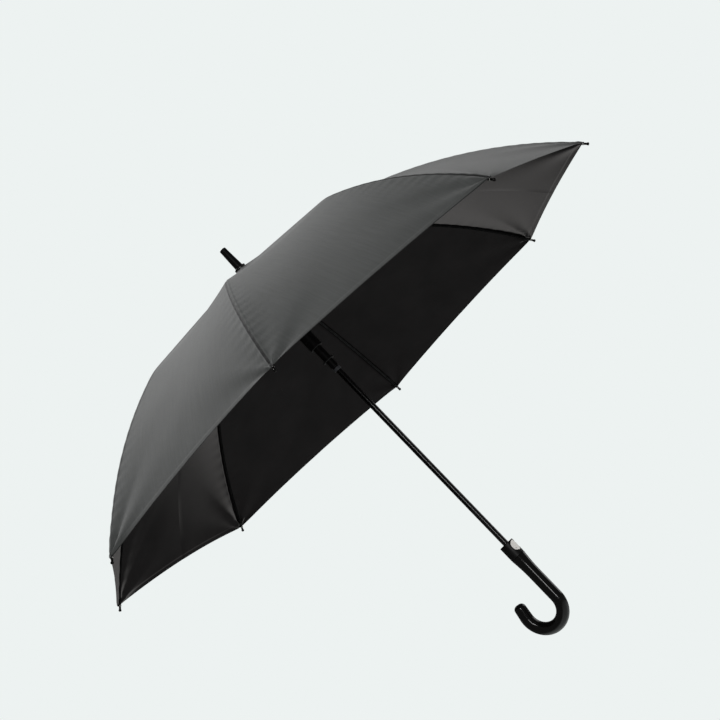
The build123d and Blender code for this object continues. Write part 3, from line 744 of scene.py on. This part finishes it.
class UMBRELLA_OT_springs(Operator):
    """Wind the opening spring in the shaft and the button's two return springs"""

    bl_idname = "umbrella.springs"
    bl_label = "Springs"

    def execute(self, context):
        settings = context.scene.umbrella_fittings
        steel = bpy.data.materials["spring_steel_drawn_wire"]
        low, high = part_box("opening_spring")
        wire = 0.5 * MM
        outer = (high.x - low.x) / 2
        bm = bmesh.new()
        length = high.z - low.z - 2 * wire
        coil(bm, (0, 0, low.z + wire), (0, 0, 1), outer - wire, wire, length, settings.coil_pitch)
        bmesh.ops.recalc_face_normals(bm, faces=bm.faces)
        opening = new_piece("opening_coil", bm, [steel], "stick")
        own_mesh(opening)
        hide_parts("opening_spring")
        low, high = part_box("button_springs")
        radius = (high.z - low.z) / 2
        wire = 0.25 * MM
        bm = bmesh.new()
        for side in (low.y + radius, high.y - radius):
            centre = (low.x + wire, side, (low.z + high.z) / 2)
            coil(bm, centre, (1, 0, 0), radius - wire, wire, high.x - low.x - 2 * wire, 1.3 * MM)
        bmesh.ops.recalc_face_normals(bm, faces=bm.faces)
        returns = new_piece("button_return_coils", bm, [steel], "stick")
        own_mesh(returns)
        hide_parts("button_springs")
        return {"FINISHED"}


class UMBRELLA_OT_button(Operator):
    """Mould the push button with a crowned face and soft rim"""

    bl_idname = "umbrella.button"
    bl_label = "Push Button"

    def execute(self, context):
        settings = context.scene.umbrella_fittings
        low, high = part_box("push_button")
        clearance, soft_rim, rim_depth = 0.15 * MM, 0.14, 1.1 * MM
        radius, middle = (high.y - low.y) / 2 - clearance, (high.z + low.z) / 2
        face_radius = high.x
        bm = bmesh.new()
        bmesh.ops.create_circle(bm, cap_ends=True, segments=96, radius=radius)
        face = bm.faces[:]
        for inset in (0.15 * MM, 0.25 * MM, 0.4 * MM, 0.7 * MM, 1.2 * MM, 2 * MM, 2 * MM, 1.6 * MM):
            bmesh.ops.inset_region(bm, faces=face, thickness=inset, use_even_offset=True)
        rim = [edge for edge in bm.edges if edge.is_boundary]
        for vert in bm.verts:
            across, up = vert.co.x, vert.co.y
            reach = hypot(across, up) / radius
            past_face = max(0.0, (reach - 1 + soft_rim) / soft_rim)
            soft = rim_depth * (1 - sqrt(max(0.0, 1 - past_face**2)))
            dome = 0.5 * settings.button_crown * reach**2
            outside = sqrt(face_radius**2 - across**2)
            vert.co = Vector((outside - soft - dome, across, middle + up))
        back = bmesh.ops.extrude_edge_only(bm, edges=rim)["geom"]
        for vert in (item for item in back if isinstance(item, bmesh.types.BMVert)):
            vert.co.x = low.x
        bmesh.ops.holes_fill(bm, edges=[edge for edge in bm.edges if edge.is_boundary], sides=0)
        bmesh.ops.recalc_face_normals(bm, faces=bm.faces)
        for edge in bm.edges:
            edge.smooth = edge.calc_face_angle(0) < radians(50)
        button = new_piece("push_button_cap", bm, [satin_button(settings)], "button")
        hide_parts("push_button")
        return {"FINISHED"}


class UMBRELLA_OT_tips(Operator):
    """Turn the eight rib tips, dark caps with a bright band next to the cloth"""

    bl_idname = "umbrella.tips"
    bl_label = "Rib Tips"

    def execute(self, context):
        dark = bpy.data.materials["steel_black_nickel_plated"]
        band = bare_metal("brass_bright_nickel_plated", "#C4C3BF", 0.22, 1 * MM)
        band_end = 2.4 * MM
        # along the tip and out from its axis, in millimetres: the band, the stem and the round head
        banded = ((0.1, 0), (0.1, 2.1), (0.4, 2.3), (2.2, 2.3), (2.4, 2.1))
        stem = ((2.5, 1.8), (7.2, 1.8), (7.8, 2.2))
        head = ((8.4, 2.4), (9.8, 2.4), (10.5, 2.0), (10.9, 1.1), (11.0, 0))
        turn = OUTER_START + (OUTER_LENGTH - SPIGOT_LENGTH) / BEND_RADIUS
        radius, height = over_outer(OUTER_LENGTH - SPIGOT_LENGTH, 0)
        for number in range(1, RIB_COUNT + 1):
            bm = bmesh.new()
            verts = [bm.verts.new((along * MM, 0, out * MM)) for along, out in banded + stem + head]
            edges = [bm.edges.new(pair) for pair in zip(verts, verts[1:])]
            bmesh.ops.spin(
                bm,
                geom=verts + edges,
                cent=(0, 0, 0),
                axis=(1, 0, 0),
                angle=2 * pi,
                steps=24,
                use_merge=True,
            )
            bmesh.ops.remove_doubles(bm, verts=bm.verts, dist=0.01 * MM)
            bmesh.ops.recalc_face_normals(bm, faces=bm.faces)
            for face in bm.faces:
                face.material_index = 1 if face.calc_center_median().x < band_end else 0
            place = outward(rib_azimuth(number), radius, height)
            aim = Matrix.Rotation(rib_azimuth(number), 4, "Z") @ Matrix.Rotation(turn, 4, "Y")
            bmesh.ops.transform(bm, matrix=Matrix.Translation(place) @ aim, verts=bm.verts)
            tip = new_piece(f"rib_tip_turned_{number}", bm, [dark, band], f"rib_outer_{number}")
            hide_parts(f"rib_tip_{number}")
        return {"FINISHED"}


class UMBRELLA_OT_finishes(Operator):
    """Give every rigid node of the frame its finish"""

    bl_idname = "umbrella.finishes"
    bl_label = "Frame Finishes"

    def execute(self, context):
        finishes = frame_finishes(context.scene.umbrella_fittings)
        for node in frame["nodes"].values():
            for place in node.material_slots:
                slot_name = place.material.name.split(".")[0]
                if slot_name in finishes:
                    place.material = finishes[slot_name]
        return {"FINISHED"}


# ---------------------------------------------------------------- studio
def softbox(name, azimuth, elevation, distance, size, power, target):
    """Area light of a given width and height that faces a target."""
    light = bpy.data.lights.new(name, "AREA")
    light.energy = power
    light.shape = "RECTANGLE"
    light.size, light.size_y = size
    lamp = bpy.data.objects.new(name, light)
    bpy.context.scene.collection.objects.link(lamp)
    away = outward(radians(azimuth), cos(radians(elevation)), sin(radians(elevation)))
    lamp.location = target + distance * away
    lamp.rotation_euler = away.to_track_quat("Z", "Y").to_euler()


def pale_room(settings):
    """World that is pale to the camera, soft to the cloth and dark in the gloss."""
    world = bpy.data.worlds.new("studio_backdrop")
    world.use_nodes = True
    tree = world.node_tree
    tree.nodes.clear()
    backdrop = {"Color": tuple(settings.backdrop_colour), "Strength": 1.0}
    seen = add_node(tree, "ShaderNodeBackground", backdrop).outputs["Background"]
    soft = {"Color": grey(1.0), "Strength": settings.ambient}
    ambient = add_node(tree, "ShaderNodeBackground", soft).outputs["Background"]
    dark = {"Color": grey(1.0), "Strength": settings.mirrored}
    mirrored = add_node(tree, "ShaderNodeBackground", dark).outputs["Background"]
    path = add_node(tree, "ShaderNodeLightPath").outputs
    unseen = add_node(tree, "ShaderNodeMixShader", {0: path["Is Glossy Ray"], 1: ambient, 2: mirrored})
    mixed = add_node(
        tree, "ShaderNodeMixShader", {0: path["Is Camera Ray"], 1: unseen.outputs["Shader"], 2: seen}
    )
    add_node(tree, "ShaderNodeOutputWorld", {"Surface": mixed.outputs["Shader"]})
    return world


def backdrop_paper(settings):
    """Matt backdrop paper that takes a soft shadow and fades into the room, so it has no edge."""
    colour = shaded(tuple(settings.backdrop_colour), 0.95)
    fade_start = 0.4  # the paper is solid up to this radius
    material, tree, shader = new_material(
        "paper_backdrop_matt", Base_Color=colour, Roughness=0.9, Specular_IOR_Level=0.1
    )
    position = add_node(tree, "ShaderNodeTexCoord").outputs["Object"]
    place = add_node(tree, "ShaderNodeSeparateXYZ", {"Vector": position})
    flat = add_node(tree, "ShaderNodeCombineXYZ", {"X": place.outputs["X"], "Y": place.outputs["Y"]})
    reach = add_node(tree, "ShaderNodeVectorMath", {0: flat.outputs["Vector"]}, operation="LENGTH")
    fade = add_node(
        tree,
        "ShaderNodeMapRange",
        {
            "Value": reach.outputs["Value"],
            "From Min": fade_start,
            "From Max": settings.floor_radius,
            "To Min": 0.0,
            "To Max": 1.0,
        },
        interpolation_type="SMOOTHSTEP",
    )
    clear = add_node(tree, "ShaderNodeBsdfTransparent")
    mixed = add_node(
        tree,
        "ShaderNodeMixShader",
        {0: fade.outputs["Result"], 1: shader.outputs["BSDF"], 2: clear.outputs["BSDF"]},
    )
    tree.links.new(mixed.outputs["Shader"], tree.nodes["Material Output"].inputs["Surface"])
    return material


class UMBRELLA_OT_stage(Operator):
    """Set up the backdrop, floor, softboxes and camera"""

    bl_idname = "umbrella.stage"
    bl_label = "Studio"

    def execute(self, context):
        settings = context.scene.umbrella_stage
        scene = context.scene
        scene.view_settings.view_transform = "Standard"
        scene.world = pale_room(settings)

        floor_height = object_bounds()[0].z - settings.floor_drop
        bm = bmesh.new()
        bmesh.ops.create_circle(bm, cap_ends=True, segments=96, radius=settings.floor_radius)
        bmesh.ops.translate(bm, verts=bm.verts, vec=(0, 0, floor_height))
        mesh = bpy.data.meshes.new("studio_floor")
        bm.to_mesh(mesh)
        bm.free()
        mesh.materials.append(backdrop_paper(settings))
        floor = bpy.data.objects.new("studio_floor", mesh)
        scene.collection.objects.link(floor)
        floor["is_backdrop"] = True

        knees, crook = Vector((0, 0, KNEE_HEIGHT)), Vector()
        softbox("key_softbox", 140, 56, 2.6, (1.5, 1.5), settings.key_power, knees)
        softbox("side_softbox", 62, 8, 1.6, (0.9, 0.9), settings.side_power, crook)
        softbox("front_strip", 306, 9, 2.2, (0.2, 1.4), settings.strip_power, crook)

        # the camera is set from the cloth's middle at the hem's corners
        cloth_middle = 2.75 * MM
        hem_height = over_rib(INNER_LENGTH + OUTER_LENGTH - CORNER_SETBACK, cloth_middle)[1]
        camera_data = bpy.data.cameras.new("camera")
        camera_data.lens = settings.lens
        camera_data.sensor_width = 36
        camera_data.clip_end = 50
        camera = bpy.data.objects.new("camera", camera_data)
        scene.collection.objects.link(camera)
        camera.location = Vector(settings.camera_place) + Vector((0, 0, hem_height))
        camera.rotation_euler = settings.camera_turn
        scene.camera = camera
        return {"FINISHED"}


class UMBRELLA_PT_panel(Panel):
    """Settings and steps of the umbrella"""

    bl_idname = "UMBRELLA_PT_panel"
    bl_label = "Stick Umbrella"
    bl_space_type = "VIEW_3D"
    bl_region_type = "UI"
    bl_category = "Umbrella"

    def draw(self, context):
        scene = context.scene
        for group in (scene.umbrella_canopy, scene.umbrella_fittings, scene.umbrella_stage):
            box = self.layout.box()
            for name in group.bl_rna.properties.keys():
                if name not in ("rna_type", "name"):
                    box.prop(group, name)
        for step in STEPS:
            self.layout.operator(step.bl_idname)


STEPS = (
    UMBRELLA_OT_finishes,
    UMBRELLA_OT_canopy,
    UMBRELLA_OT_strap,
    UMBRELLA_OT_springs,
    UMBRELLA_OT_button,
    UMBRELLA_OT_tips,
    UMBRELLA_OT_stage,
)
GROUPS = {
    "umbrella_canopy": CanopyProperties,
    "umbrella_fittings": FittingProperties,
    "umbrella_stage": StageProperties,
}


def register():
    """Register the settings, steps and panel."""
    for group in GROUPS.values():
        bpy.utils.register_class(group)
    for step in STEPS:
        bpy.utils.register_class(step)
    bpy.utils.register_class(UMBRELLA_PT_panel)
    for name, group in GROUPS.items():
        setattr(bpy.types.Scene, name, PointerProperty(type=group))


def unregister():
    """Take the settings, steps and panel away."""
    for name in GROUPS:
        delattr(bpy.types.Scene, name)
    bpy.utils.unregister_class(UMBRELLA_PT_panel)
    for step in reversed(STEPS):
        bpy.utils.unregister_class(step)
    for group in reversed(list(GROUPS.values())):
        bpy.utils.unregister_class(group)


def main():
    """Build the umbrella step by step."""
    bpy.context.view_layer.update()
    register()
    bpy.ops.umbrella.finishes()
    bpy.ops.umbrella.canopy()
    bpy.ops.umbrella.strap()
    bpy.ops.umbrella.springs()
    bpy.ops.umbrella.button()
    bpy.ops.umbrella.tips()
    bpy.ops.umbrella.stage()


if __name__ == "__main__":
    main()
